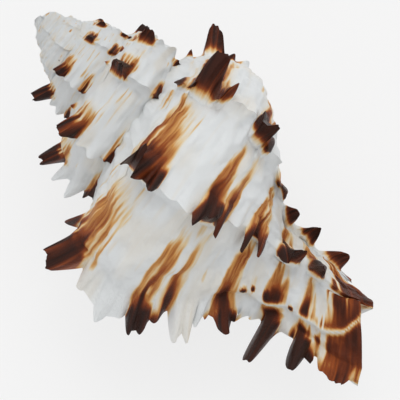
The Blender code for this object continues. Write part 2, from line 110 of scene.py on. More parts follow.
thirdFronds = [
    (40.6, 4.0, 1.2, 1.5, 2.4, 3.6, 1.0), (42.4, 3.0, 1.2, 1.5, 3.0, 3.6, 1.0),
    (44.4, 9.0, 1.8, 4.0, 0.6, -5.0, 1.0), (46.0, 9.5, 1.8, 4.0, 0.6, -6.0, 1.0),
    (48.0, 3.5, 1.4, 1.5, 2.4, 3.5, 0.8), (49.8, 5.0, 1.6, 1.6, 1.2, -3.0, 0.8),
    (53.6, 2.0, 2.0, 2.0, 0.0, 0.5, 0.0), (57.4, 2.2, 2.0, 2.0, 0.0, 0.5, 0.0),
    (60.2, 6.0, 1.4, 1.5, -5.0, 1.0, 0.9), (62.6, 7.4, 2.2, 3.0, -3.0, 0.0, 1.0),
    (61.8, 4.0, 1.0, 1.5, -3.0, 5.0, 0.9), (65.8, 3.6, 1.4, 1.6, -1.0, 4.5, 1.0),
    (69.0, 2.4, 1.9, 2.0, 0.4, 0.5, 0.0), (72.8, 1.8, 1.6, 3.0, 2.2, 3.0, 1.0),
    (76.2, 4.3, 2.3, 2.2, -1.2, 4.0, 1.0), (81.4, 4.9, 2.7, 2.2, 0.4, 1.6, 1.0),
    (88.6, 4.8, 2.8, 2.4, 0.6, 2.0, 1.0), (97.0, 4.6, 3.5, 2.5, 2.4, 0.0, 0.8),
]
fourthFronds = [
    (39.6, 2.9, 1.3, 1.5, 1.2, 0.5, 1.0), (42.6, 8.2, 1.7, 4.0, 0.2, -1.0, 1.0),
    (43.8, 7.9, 1.7, 4.0, -1.0, -1.0, 1.0), (47.2, 1.8, 1.2, 1.8, 0.3, 0.5, 0.9),
    (50.8, 1.6, 1.8, 2.0, 0.6, 0.5, 0.0), (55.8, 0.4, 2.0, 2.0, 1.1, 0.5, 0.0),
    (59.2, 1.2, 2.0, 2.0, 1.1, 0.5, 0.0), (64.0, 0.6, 3.0, 2.5, 0.0, 0.5, 0.3),
    (72.8, 0.6, 2.2, 2.5, 0.0, 0.5, 0.8), (82.0, 3.4, 2.2, 2.5, 0.8, 0.5, 1.0),
    (89.0, 4.4, 2.3, 2.5, 1.0, 0.5, 1.0), (97.4, 7.0, 3.0, 2.5, 2.4, 0.5, 0.8),
]
undersideFronds = [
    (39.6, 5.5, 1.3, 1.3, -1.0, 0.5, 1.0), (44.3, 7.0, 4.3, 4.0, 0.8, -1.0, 1.0),
    (43.0, 9.0, 1.9, 1.8, 2.0, -1.0, 1.0), (45.8, 10.0, 2.0, 1.8, 0.3, -1.0, 1.0),
    (50.4, 4.5, 2.0, 1.6, 0.0, 0.5, 0.05), (56.4, 6.0, 2.6, 2.0, 0.0, 0.5, 0.0),
    (62.8, 5.5, 3.6, 3.5, 0.3, 1.5, 1.0), (61.2, 8.0, 1.8, 1.6, -0.2, 2.0, 1.0),
    (64.9, 7.0, 1.7, 1.6, 1.0, 2.5, 1.0), (68.3, 8.0, 2.0, 2.2, 0.6, 1.0, 0.0),
    (72.8, 8.5, 2.4, 3.0, 3.5, 2.0, 1.0), (76.2, 4.5, 1.2, 1.5, 1.0, 1.0, 0.9),
    (82.0, 11.0, 2.2, 3.0, 0.8, 1.0, 1.0), (89.0, 9.0, 2.3, 3.0, 2.6, 1.0, 1.0),
    (98.0, 5.0, 4.4, 3.5, 1.6, 0.5, 0.8), (96.4, 7.0, 1.8, 1.6, 2.0, 0.5, 0.8),
    (99.8, 9.0, 1.9, 1.6, 1.2, 0.5, 0.8),
]
seventhFronds = [
    (39.8, 3.6, 1.2, 1.5, 0.0, 0.5, 0.8), (43.6, 9.0, 2.0, 3.0, 1.6, -1.0, 1.0),
    (45.6, 9.2, 1.9, 3.0, -0.2, -1.0, 1.0), (50.6, 6.6, 2.8, 2.0, -0.4, 0.5, 0.0),
    (56.4, 6.0, 3.4, 2.0, -1.2, 0.5, 0.0), (60.6, 4.2, 1.8, 1.8, -2.0, 0.5, 1.0),
    (63.0, 3.6, 2.4, 2.5, -0.6, 0.5, 1.0), (66.0, 2.0, 1.6, 2.0, 0.0, 0.5, 0.4),
    (73.0, 0.3, 2.4, 3.0, 0.0, 0.5, 0.0), (90.0, 0.3, 4.0, 3.0, 0.0, 0.5, 0.0),
]
spireFronds = [
    (39.4, 2.6, 1.4, 1.5, 0.0, 0.5, 0.7), (43.4, 7.4, 2.4, 3.6, 1.4, -1.0, 1.0),
    (45.6, 8.0, 2.6, 3.6, 0.2, -1.0, 1.0), (50.4, 2.4, 2.6, 2.0, 0.0, 0.5, 0.0),
    (56.0, 2.6, 3.4, 2.0, 0.0, 0.5, 0.0), (60.8, 2.0, 1.8, 2.0, -0.6, 0.5, 0.9),
    (63.0, 2.0, 2.6, 2.5, -0.4, 0.5, 0.9), (66.0, 1.2, 1.6, 2.0, 0.0, 0.5, 0.3),
    (73.0, 0.3, 2.4, 3.0, 0.0, 0.5, 0.0), (90.0, 0.3, 4.0, 3.0, 0.0, 0.5, 0.0),
]
frondsOf = [
    lipFronds, secondFronds, thirdFronds, fourthFronds, undersideFronds, undersideFronds,
    seventhFronds,
]
# Varices that differ: number from the lip, first and last place, share of height, added shift ahead
changed = [
    (4, 38.0, 60.0, 0.6, 0.0), (4, 60.0, 67.0, 0.5, 0.0), (4, 67.0, 80.0, 1.15, 1.0),
    (4, 80.0, 104.0, 1.3, 0.0), (5, 67.0, 104.0, 0.05, 0.0), (9, 38.0, 50.0, 0.55, 0.0),
    (10, 38.0, 50.0, 0.6, 0.0), (13, 38.0, 50.0, 1.5, 0.0), (15, 38.0, 50.0, 0.5, 0.0),
    (16, 38.0, 50.0, 0.5, 0.0), (22, 38.0, 50.0, 0.3, 0.0), (23, 38.0, 50.0, 0.3, 0.0),
]
worn = {15: 0.6, 16: 0.4, 17: 0.2}  # height left of the oldest fronds, from these varices back
varixFlare = {1: 0.7, 2: 0.8, 3: 0.2}  # varices that flare less, and the share they keep
narrow = {"share": 0.2, "from": 75.0, "to": 84.0}  # the older canal is thinner than the last
leftover = 0.35  # share of the flare that fades out in front of a varix where its crest is low
# How far the canal's end draws back between varices, and behind the second varix
waist = {"depth": 4.6, "second": 7.0, "start": 88.0}
frond = {
    "curl": 2.6,  # fold of the edges towards the growing edge
    "rim": 0.4,  # half thickness
    "taper": 0.25,  # how much a finger narrows towards its tip
    "lateLean": 0.8,  # share of the lean aside that waits for the tip
    "groove": 1.3,
    "ragged": 0.26,  # how far the edge is frayed on the body whorl
    "spireRagged": 0.1,
    "vary": (0.88, 1.08),  # spread of the heights on varices out of full view
}
# Ridges along the whorl that end in fronds: place, half width
ribs = [
    (44.0, 3.2), (50.2, 2.0), (56.4, 2.4), (63.2, 3.0), (68.3, 1.8), (72.6, 2.2), (82.2, 2.2),
    (89.0, 2.2), (97.2, 3.2),
]
# Low relief of the wall, each with its height in millimetres
surface = {
    "wave": 1.25, "ripple": 0.85, "crease": 0.7, "thread": 0.5, "growthLine": 0.35,
    "creaseTop": 0.35,  # where the creases are cut off
}

# Spiral bands of colour: place, half width of the ochre halo and of the brown core, how far on
# from the older varix the core begins, and how deep its brown gets
bands = [
    (44.6, 7.8, 4.4, 0.95, 0.92), (61.6, 3.5, 1.6, 0.45, 0.92), (65.4, 2.4, 0.8, 0.45, 0.92),
    (73.2, 3.4, 1.6, 0.45, 0.92), (82.4, 3.4, 1.9, 0.5, 0.92), (89.6, 3.2, 1.9, 0.5, 0.92),
    (101.0, 9.0, 8.6, 0.1, 0.68),
]
# A pause in the growth of the canal between the last two varices: the place from which the canal
# is painted by it, the height of its ledge, and its line of places and growth angles
pause = {
    "place": 77.0, "step": 0.9,
    "line": [(78.0, -16.0), (83.6, -21.0), (94.5, -21.5), (100.2, -29.0), (103.0, -38.8), (104.2, -44.0)],
}
# Small hollow scales on the canal: place along the axis, growth angle, half width, height
scales = [
    (80.9, -25.5, 1.3, 1.0), (86.3, -22.5, 0.7, 0.6), (75.9, -20.0, 0.9, 0.8),
    (77.6, -24.0, 0.6, 0.5),
]


# Smooth step from 0 at low to 1 at high.
def smooth(low, high, x):
    t = np.clip((x - low) / (high - low), 0, 1)
    return t * t * (3 - 2 * t)


# Hermite curve through the points, at the given shares of its length.
def curve(points, at):
    points = np.array(points, float)
    steps = np.hypot(np.diff(points[:, 0]), np.diff(points[:, 1]))
    knots = np.concatenate([[0.0], np.cumsum(steps)])
    where = np.asarray(at) * knots[-1]
    slopes = np.gradient(points, knots, axis=0)
    i = np.clip(np.searchsorted(knots, where, side="right") - 1, 0, len(knots) - 2)
    width = (knots[i + 1] - knots[i])[:, None]
    t = ((where - knots[i]) / (knots[i + 1] - knots[i]))[:, None]
    a, b = points[i], points[i + 1]
    rise = slopes[i] * width * t * (1 - t) ** 2 - slopes[i + 1] * width * t**2 * (1 - t)
    return a + (b - a) * t**2 * (3 - 2 * t) + rise


# Value noise from 0 to 1: random numbers on a 64 by 64 lattice, blended smoothly.
def grain(a, b, seed):
    table = np.random.default_rng(seed).random((64, 64))
    i, j = np.floor(a).astype(int), np.floor(b).astype(int)
    s, t = a - i, b - j
    s, t = s * s * (3 - 2 * s), t * t * (3 - 2 * t)
    top = table[i % 64, j % 64] * (1 - s) + table[(i + 1) % 64, j % 64] * s
    low = table[i % 64, (j + 1) % 64] * (1 - s) + table[(i + 1) % 64, (j + 1) % 64] * s
    return top * (1 - t) + low * t


# Size at a growth angle: the whorl ratio to the power of the turns, 1 at the lip.
def growth(angle):
    return coil["whorlRatio"] ** (np.asarray(angle, float) / 360.0)


# Point of the axis frame, in metres, from axial distance, radius, bearing and step ahead.
def place(axial, radius, angle, ahead=0.0):
    turn = np.radians(angle)
    y = -radius * np.sin(turn) - ahead * np.cos(turn)
    z = radius * np.cos(turn) - ahead * np.sin(turn)
    return np.stack(np.broadcast_arrays(axial, y, z), axis=-1) * mm


# From the axis frame to the frame in which the shell lies on its fronds
pitched = Matrix.Rotation(math.radians(coil["pitch"]), 4, "Y")
lean = pitched @ Matrix.Rotation(math.radians(coil["roll"]), 4, "X")
resting = Matrix.Translation(coil["pole"]) @ lean


# Points of the axis frame, turned and moved to where the shell rests.
def settled(points):
    turn = np.array(resting.to_3x3())
    points = points @ turn.T + np.array(resting.translation)
    height = points[..., 2]  # nothing dips into the floor, and the highest waves stay low
    top = coil["top"]
    points[..., 2] = np.where(height > top, top + 0.5 * (height - top), np.maximum(height, 0.0))
    return points


# Finger rows of one varix. Those out of full view vary a little in height.
def fingersOf(varix):
    rows = frondsOf[varix] if varix < len(frondsOf) else spireFronds
    random = np.random.default_rng(40 + varix)
    made = []
    for spot, tall, half, blunt, shift, ahead, dark in rows:
        if varix >= 4:
            tall = tall * random.uniform(*frond["vary"])
        tall = tall * worn.get(min(varix, 17), 1.0)
        for number, first, last, left, more in changed:
            if number == varix and first < spot < last:
                tall, ahead = tall * left, ahead + more
        made.append((spot, tall, half, blunt, shift, ahead, dark))
    return made


# Crest of one varix for each column: height, step along the axis and outwards, shift ahead, fold
# and darkness. A finger stands along the wall's normal at its own middle, is as high as 1 -
# |across|^bluntness allows, narrows towards the tip and folds ahead at its edges.
def crestOf(varix, axial, along, tangent):
    crest = np.zeros((6, len(axial)))
    for spot, tall, half, blunt, shift, ahead, dark in fingersOf(varix):
        centre = np.interp(spot, axial, along)
        across = (along - centre) / half
        shape = np.clip(1.0 - np.abs(across) ** blunt, 0.0, None)
        slopeX, slopeR = (np.interp(centre, along, v) for v in tangent)
        aside = shift * shape - frond["taper"] * (along - centre) * shape
        finger = np.stack([
            tall * shape,
            -tall * shape * slopeR + aside * slopeX,
            tall * shape * slopeX + aside * slopeR,
            ahead * shape,
            frond["curl"] * across**2 * tall / 10.0,
            dark + 0 * shape,
        ])
        crest = np.where(finger[0] > crest[0], finger, crest)
    # Between two fingers the fold runs on, and it dies out where the crest is low
    even = np.arange(0, along[-1], 0.1)
    window = np.hanning(33) / np.hanning(33).sum()
    standing = crest[0] > 0.3
    fold = np.interp(even, along[standing], crest[4, standing])
    tall = np.interp(even, along, crest[0])
    fold, tall = (np.convolve(np.pad(v, 16, mode="edge"), window, mode="valid") for v in (fold, tall))
    crest[4] = np.interp(along, even, fold * smooth(1.2, 3.2, tall))
    return crest


# Wall line at the shares: axial place, radius, lag, distance along it, and its unit tangent,
# averaged over a few millimetres.
def wallAt(shares):
    axial, radius, lag = curve(wallLine, shares).T
    along = np.concatenate([[0.0], np.cumsum(np.hypot(np.diff(axial), np.diff(radius)))])
    fine = np.linspace(0, along[-1], 400)
    slope = np.stack([np.gradient(np.interp(fine, along, v), fine) for v in (axial, radius)])
    window = np.hanning(41) / np.hanning(41).sum()
    slope = [np.convolve(np.pad(v, 20, mode="edge"), window, mode="valid") for v in slope]
    tangent = np.stack([np.interp(along, fine, v) for v in slope])
    return axial, radius, lag, along, tangent / np.hypot(*tangent)


# Points of the ring's hidden side, from the wall's last point back to its first.
def coreAt(last, core, count):
    return curve([last] + core + [wallLine[0]], np.linspace(0, 1, count + 2)[1:-1])


# Shares of the wall line at which columns stand, closer together where crests are steep, up to the
# share `last`.
def columnsFor(count, last):
    at = np.linspace(0, 1, 1500)
    axial, radius, lag, along, tangent = wallAt(at)
    steep = sum(np.abs(np.gradient(crestOf(v, axial, along, tangent)[0], along)) for v in range(4)) / 4
    window = np.hanning(15) / np.hanning(15).sum()
    weight = np.convolve(1.0 + 0.9 * np.clip(steep, 0, 4), window, mode="same")
    total = np.concatenate([[0.0], np.cumsum((weight[1:] + weight[:-1]) / 2 * np.diff(along))])
    end = np.interp(last, at, total)
    return np.interp(np.linspace(0, end, count), total, at)


# Rows for the varices listed, oldest first: growth angle, varix, flare, rib, rise, side.
def rowsFor(numbers, counts, start):
    backRows, frontRows = counts[2:]
    rows = []
    older = start
    for number in numbers:
        wallRows = counts[0] if number < 4 else counts[1]
        edge = varixAngles[number]
        begin = older + coil["frontFoot"] * (older > coil["apexAngle"])
        end = edge - coil["backFoot"]
        for share in np.linspace(0, 1, wallRows + 1)[int(len(rows) > 0) : -1]:
            flare = coil["backFlare"] * smooth(0.4, 1.0, share)
            rows.append((begin + (end - begin) * share, number, flare, share, 0.0, -1.0))
        for k in range(backRows + 1):
            rise = math.sin(0.5 * math.pi * k / backRows)
            angle = edge - coil["backFoot"] * (1 - rise) ** 1.5
            flare = coil["backFlare"] + (1 - coil["backFlare"]) * rise
            rows.append((angle, number, flare, 1.0, rise, -1.0))
        for k in range(1, frontRows + 1):
            rise = math.cos(0.5 * math.pi * k / frontRows)
            rows.append((edge, number, rise, rise, rise, 1.0))
        older = edge
    return np.array(rows)


# Closed rings of the horn and the colour painted on them. A point is the wall line at the row's
# size and bearing, moved out by the crest times the rise.
def shellSurface(at, rows, coreCount):
    axial, radius, lag, along, tangent = wallAt(at)
    normal = np.stack([-tangent[1], tangent[0]])
    ribShape = sum(
        np.clip(1 - ((along - np.interp(spot, axial, along)) / (1.6 * half)) ** 2, 0, None)
        for spot, half in ribs
    )
    angle, varix, flare, rib, rise, side = (column[:, None] for column in rows.T)
    number = varix[:, 0].astype(int)
    crests = np.array([crestOf(v, axial, along, tangent) for v in range(len(varixAngles))])
    height, stepAxial, stepOut, forward, fold, dark = (crests[number, k] for k in range(6))

    # The front of a tall frond drops at once, that of a low one slopes gently
    steep = smooth(0.6, 3.0, height)
    slope = (1 - rise) ** 3 * steep + (1 - rise) ** 1.4 * (1 - steep)
    drop = np.where(side > 0, coil["frontFoot"] * slope, 0)
    angle = angle + drop
    older = np.minimum(number + 1, len(varixAngles) - 1)
    lowOlder = 1 - smooth(0.6, 3.0, crests[older, 0])
    size = growth(angle)
    early = np.clip((coil["apexStart"] - angle) / 450.0, 0, 1)
    apex = 1 + coil["apexWider"] * early
    shares = np.array([varixFlare.get(k, 1.0) for k in range(len(varixAngles))])
    own, before = shares[number][:, None], shares[older][:, None]
    fading = leftover * lowOlder * before * (1 - smooth(0.0, 0.4, rib)) * (rise == 0) * (side < 0)
    fading = fading + (side > 0) * leftover * (1 - steep) * own * (1 - rise)
    swell = own * flare + fading
    canalLength = wallLine[-1][0] - waist["start"]
    deepest = np.where(varix == 1, waist["second"], waist["depth"])
    drawn = deepest * smooth(0.0, 0.1, rib) * (1 - rib) * (rise == 0) * (side < 0)
    drawnAxial = axial - drawn * np.clip((axial - waist["start"]) / canalLength, 0, 1)
    thin = smooth(narrow["from"], narrow["to"], axial) * smooth(66.0, 90.0, -angle)
    thin = thin * (1 - smooth(190.0, 230.0, -angle))
    wide = apex - narrow["share"] * thin + coil["flare"] * swell * np.clip(along / 12.0, 0, 1)
    wide = wide + coil["ribHeight"] * rib * ribShape
    tall = growth(np.array(varixAngles)[number])[:, None] * rise
    lift = height * tall
    ahead = tall * np.where(forward < -1.5, forward * rise**1.5, forward * rise**0.6)
    ahead = ahead + fold * tall * rise**0.5
    thick = frond["rim"] * size * np.sqrt(np.clip(1 - rise**6, 0, 1)) * (rise > 0)
    ahead = ahead + side * thick * smooth(1.5, 4.0, height)
    # Grooves run up each frond and fray its edge. Waves, threads and growth lines cross the wall.
    groove = grain(along[None, :] / 0.6 + 7 * varix, 1.5 * rise + 0 * along, 3) - 0.5
    ahead = ahead + frond["groove"] * groove * tall * smooth(0.5, 4.0, height)
    ragged = np.where(varix < 6, frond["ragged"], frond["spireRagged"])
    ragged = ragged * (1 - 0.6 * smooth(76.0, 80.0, axial))
    fray = 1 - ragged * grain(along[None, :] / 0.75 + 3 * varix, 0 * rise, 4) * smooth(1.0, 5.0, height)
    waves = surface["wave"] * (grain(along / 4.6 + 0 * angle, angle / 11.0, 5) - 0.5)
    waves = waves + surface["ripple"] * (grain(along / 2.3 + 0 * angle, angle / 6.0, 7) - 0.5)
    crease = np.abs(2 * grain(along / 2.8 + 0.12 * angle, angle / 7.0 - 0.2 * along, 9) - 1)
    waves = waves + surface["crease"] * np.minimum(crease, surface["creaseTop"])
    threads = grain(along / 0.95 + 0 * angle, angle / 12.0, 6) - 0.5
    threads = surface["thread"] * (0.3 + 0.7 * rib) * threads
    lines = surface["growthLine"] * (grain(along / 5.0 + 0 * angle, angle / 3.4, 8) - 0.5)
    relief = (waves + threads + lines) * size * (1 - rise) * np.clip(along / 3.0, 0, 1)
    # At the pause the canal's wall rises to an edge and steps down in front of it
    behind = angle - pauseAngle(axial)
    climb, descent = np.clip(1 + behind / 30.0, 0, 1) ** 2, np.clip(1 - behind / 3.0, 0, 1)
    step = pause["step"] * np.where(behind < 0, climb, descent)
    relief = relief + step * smooth(76.0, 80.0, axial) * (angle > -66.0) * (1 - rise)
    for spot, turned, half, high in scales:
        away = scaleAway(axial, along, angle + 2.0, spot, turned, half)
        relief = relief + high * smooth(1.3, 0.2, away)
    filled = coil["suturesFilled"] * smooth(600.0, 900.0, -angle) * (axial < 70.0)
    missing = np.clip(coil["coneSlope"] * axial / radius - 1, 0, 0.6)
    wide = wide + filled * missing * np.clip(along / 1.5, 0, 1)
    # Fingers stand straight at first and lean aside towards their tips
    sideways = stepAxial * tangent[0] + stepOut * tangent[1]
    bend = frond["lateLean"] * (rise - 1) * sideways * tall * smooth(3.0, 5.0, height)
    outAxial = drawnAxial * size + stepAxial * tall * fray + relief * normal[0] + bend * tangent[0]
    outRadius = radius * wide * size + stepOut * tall * fray + relief * normal[1] + bend * tangent[1]
    outside = place(outAxial, outRadius, coil["lipBearing"] + angle + lag, ahead)

    last, core = wallLine[-1], coreLine
    if at[-1] < 0.999:  # the spire's ring stops short of the canal
        last = (axial[-1], radius[-1], lag[-1])
        core = [(axial[-1] - 6, -1.0, lag[-1]), (50.0, -1.0, 0), (38.0, -1.0, 0)]
    inner = coreAt(last, core, coreCount)
    base = rows[:, 0][:, None] + coil["frontFoot"] * np.where(side > 0, (1 - rise) ** 1.4, 0)
    innerSize = growth(base)
    innerAxial = inner[:, 0] - drawn * np.clip((inner[:, 0] - waist["start"]) / canalLength, 0, 1)
    innerRadius = inner[:, 1] * innerSize * apex[:, :1]
    inside = place(innerAxial * innerSize, innerRadius, coil["lipBearing"] + base + inner[:, 2])
    points = np.concatenate([outside, inside], axis=1)
    aside = early[:, :1] * (1 - 0.5 * smooth(1150.0, 1500.0, -angle[:, :1]))
    points[:, :, 1] -= coil["apexShift"] * mm * aside
    paint = paintOf(along, axial, angle, rib, rise, side, dark, lift / size)
    padded = np.concatenate([paint, np.zeros((len(rows), coreCount))], axis=1)
    ringAlong = np.concatenate([along, along[-1] + np.arange(1, coreCount + 1) * 3.0])
    return settled(points), padded, ringAlong, base[:, 0]


# The opening at the lip, an oval that runs into a slot along the canal, and the line of the slot:
# place along the axis, radius, lag
opening = {
    "centre": (54.0, 16.6), "half": (13.5, 7.8), "slot": 1.3, "face": 5.0,
    "slotDepth": 16.0, "throatDepth": 255.0,  # degrees behind the face
}
slitLine = [
    (64.0, 13.0, -8), (70.0, 10.0, -15), (78.0, 8.2, -24), (88.0, 7.2, -38), (98.0, 7.8, -49),
    (106.0, 9.6, -62),
]


# Edge of the opening at axial places x and a depth behind the face: the oval's radius is r0 + b
# sqrt(1 - ((x - x0) / a)^2) above and r0 - b sqrt(...) below, the slot's is its line plus or minus
# the half width, and a smooth step leads from one to the other.
def openingEdge(x, upper, depth):
    slit = np.array(slitLine)
    middle = np.interp(x, slit[:, 0], slit[:, 1])
    lag = np.interp(x, [50.0, *slit[:, 0]], [0.0, *slit[:, 2]])
    (x0, r0), (a, b) = opening["centre"], opening["half"]
    oval = b * np.sqrt(np.clip(1 - ((x - x0) / a) ** 2, 0, 1))
    step = np.where(upper, smooth(63.0, 68.5, x), smooth(60.0, 66.0, x))
    sign = np.where(upper, 1.0, -1.0)
    radius = (r0 + sign * oval) * (1 - step) + (middle + sign * opening["slot"]) * step
    angle = opening["face"] - depth
    size = growth(angle + lag * (1 - step))
    return place(x * size, radius * size, coil["lipBearing"] + angle + lag)


# Rows that carry the last ring on over the face of the lip to the opening's edge and down into it:
# P = ring (1 - s) + edge s, then the edge at growing depth.
def lipRows(ring, x, wallCount):
    upper = np.arange(len(x)) < wallCount
    inward = np.interp(x, [35.0, 44.0, 104.2], [40.7, 45.0, 103.0])
    edge = settled(openingEdge(inward, upper, 0.0))
    face = [ring * (1 - share) + edge * share for share in (0.12, 0.35, 0.6, 0.82, 0.95)]
    depths = (0.5, 2.0, 5.0, 10.0, opening["slotDepth"] + 0.5)
    walls = [settled(openingEdge(inward, upper, depth)) for depth in depths]
    return np.array(face + walls)


# Hollow behind the opening, an oval swept back along the spiral, and the floor of the slot.
def addThroat():
    depth = np.linspace(8.0, opening["throatDepth"], 70)[:, None]
    turn = np.linspace(0, 2 * math.pi, 48, endpoint=False)
    (x0, r0), (a, b) = opening["centre"], opening["half"]
    size = growth(opening["face"] - depth)
    bearing = coil["lipBearing"] + opening["face"] - depth + 0 * turn
    a, b = 1.004 * a, 1.004 * b  # a little wider than the opening, so that no gap shows
    tube = place((x0 + a * np.cos(turn)) * size, (r0 + b * np.sin(turn)) * size, bearing)
    paint = 0 * bearing + 0.03
    inside = gridMesh("throat", settled(tube), paint, turn * 10.0, -depth[:, 0], (False, True))
    x = np.linspace(67.0, 104.0, 40)
    sides = [openingEdge(x, np.full(40, side), opening["slotDepth"]) for side in (True, False)]
    across = np.array([sides[0] * (1 - t) + sides[1] * t for t in (-0.02, 0.25, 0.5, 0.75, 1.02)])
    across[1:4] -= 0.12 * (across[1:4] - across[2:3])
    points = settled(across).transpose(1, 0, 2)
    paint = np.full((40, 5), 0.05)
    floor = gridMesh("canal_floor", points, paint, np.arange(5.0), x, (False, False), False)
    return [inside, floor]


# Growth angle of the pause at axial places.
def pauseAngle(axial):
    return np.interp(axial, *zip(*pause["line"]))


# Distance from a small scale's middle in half widths, with 0.2 mm to a degree.
def scaleAway(axial, along, angle, spot, turned, half):
    return np.hypot(along - np.interp(spot, axial, along), 0.2 * (angle - turned)) / half


# How much brown lies on each point, 0 white and 1 near black. Each band has an ochre halo and a
# brown core, both streaked: ink = smooth(noise + coverage), where the coverage falls from the
# band's middle to its edge and grows from one varix to the next.
def paintOf(along, axial, angle, rib, rise, side, dark, stands):
    wide = grain(along / 1.5 + 0 * angle, angle / 26.0, 11)
    thin = grain(along / 0.55 + 0 * angle, angle / 14.0, 13)
    streak = 0.55 * wide + 0.45 * thin - 0.5
    broad = grain(along / 3.0 + 0 * angle, angle / 16.0, 12) - 0.5
    phase = np.where(side < 0, 0.86 * rib + 0.14 * rise, 1.0) + 0 * along
    canal = (axial > pause["place"]) & (angle > -64.0) & (rise == 0)
    edge = pauseAngle(axial)
    early = np.clip((angle + 66.0) / (edge + 66.0), 0.0, 1)
    late = 0.25 + 0.75 * np.clip((angle - edge - 2.0) / 8.0, 0, 1)
    panel = smooth(92.0, 95.0, axial)  # the canal's end is brown all over
    early = early * (1 - panel) + panel * np.maximum(early, 0.75)
    late = late * (1 - panel) + panel * np.maximum(late, 0.8)
    phase = np.where(canal, np.where(angle < edge, early, late), phase)
    old = smooth(330.0, 420.0, -angle)
    phase = phase * (1 - old) + smooth(0.45, 1.0, phase) * old
    paint = np.zeros_like(phase)
    for spot, outer, inner, start, deepest in bands:
        off = np.abs(along - np.interp(spot, axial, along) + 0.9 * broad)
        cover = 1.25 * (1 - (off / (outer * (0.55 + 0.45 * phase))) ** 2) * smooth(-0.15, 0.35, phase)
        halo = smooth(0.0, 0.9, cover + 0.5 * streak)
        middle = 0.9 * (cover - 0.95)
        cover = 1.4 * (1 - (off / (inner * (0.35 + 0.65 * phase))) ** 2) * smooth(start - 0.35, 1.05, phase)
        core = smooth(0.2, 1.15, cover + 2.0 * streak)
        richness = 0.6 * phase + 0.35 + middle + 1.3 * (wide + thin - 1.0)
        ink = (0.145 + 0.26 * smooth(0.25, 1.05, richness)) * halo
        deep = 0.46 + (deepest - 0.46) * smooth(0.6, 0.97, phase + 0.3 * broad)
        deep = deep + 1.1 * (0.92 - deepest) * (1.6 * streak + broad)
        paint = np.maximum(paint, ink + (deep - ink) * core)
    paleEdge = np.exp(-(((angle - edge) / 2.6) ** 2))  # along the pause
    paint = paint * (1 - 0.9 * canal * paleEdge)
    for spot, turned, half, _ in scales:
        away = scaleAway(axial, along, angle, spot, turned, half)
        paint = np.maximum(paint, 0.95 * smooth(1.1, 0.4, away))
    onFrond = smooth(0.3, 2.2, stands)
    brown = np.clip(dark * (0.88 + 0.6 * (thin - 0.5) + 0.3 * broad), 0, 1)
    paint = np.where(dark > 0.3, np.maximum(paint, onFrond * brown), paint * (1 - smooth(0.2, 1.2, stands)))
    front = (side > 0) * (1 - rise)
    paint = paint * (1 - smooth(0.5, 1.0, front))
    bare = smooth(890.0, 960.0, -angle)  # the worn apex has only faint specks
    paint = paint * (1 - 0.85 * bare)
    speck = 0.4 * smooth(0.86, 0.97, grain(along / 2.6 + 0 * angle, angle / 11.0, 16)) * bare
    paint = np.maximum(paint, speck * (rise == 0))
    cream = 0.09 * smooth(0.5, 0.85, grain(along / 4.0 + 0 * angle, angle / 20.0, 14))
    cloud = smooth(0.45, 0.8, grain(along / 5.0 + 0 * angle, angle / 18.0, 15))
    tint = 0.17 * (1 - smooth(700.0, 850.0, -angle)) * smooth(0.55, 0.95, wide) * cloud
    return np.maximum(paint, np.maximum(cream, tint * (side < 0)))


# Mesh from rings of points: quads between neighbours, closed round each ring unless told not to,
# with the paint value on its points and a map that follows the growth.
def gridMesh(name, points, paint, along, angles, caps, closed=True):
    count, around, _ = points.shape
    first = np.arange(count - 1)[:, None] * around
    near = np.arange(around if closed else around - 1)[None, :]
    far = (near + 1) % around
    quads = np.stack([first + near, first + near + around, first + far + around, first + far], axis=-1)
    quads = quads.reshape(-1, 4)
    mesh = bpy.data.meshes.new(name)
    faces = quads.tolist()
    if caps[0]:
        faces.append(list(range(around)))
    if caps[1]:
        faces.append(list(range((count - 1) * around, count * around))[::-1])
    mesh.from_pydata(points.reshape(-1, 3).tolist(), [], faces)
    layer = mesh.attributes.new("paint", "FLOAT", "POINT")
    layer.data.foreach_set("value", paint.reshape(-1).astype(np.float32))
    uv = mesh.uv_layers.new(name="growth")
    u = np.broadcast_to(along / 100.0, (count, around)).reshape(-1)
    v = np.broadcast_to((angles * 0.436 / 100.0)[:, None], (count, around)).reshape(-1)
    loops = np.empty(len(mesh.loops), dtype=np.int32)
    mesh.loops.foreach_get("vertex_index", loops)
    uv.data.foreach_set("uv", np.stack([u[loops], v[loops]], axis=-1).reshape(-1).astype(np.float32))
    mesh.shade_smooth()
    item = bpy.data.objects.new(name, mesh)
    bpy.context.collection.objects.link(item)
    return item


# New material with its node tree and Principled shader.
def nodeMaterial(name):
    item = bpy.data.materials.new(name)
    item.use_nodes = True
    tree = item.node_tree
    return item, tree, tree.nodes["Principled BSDF"]


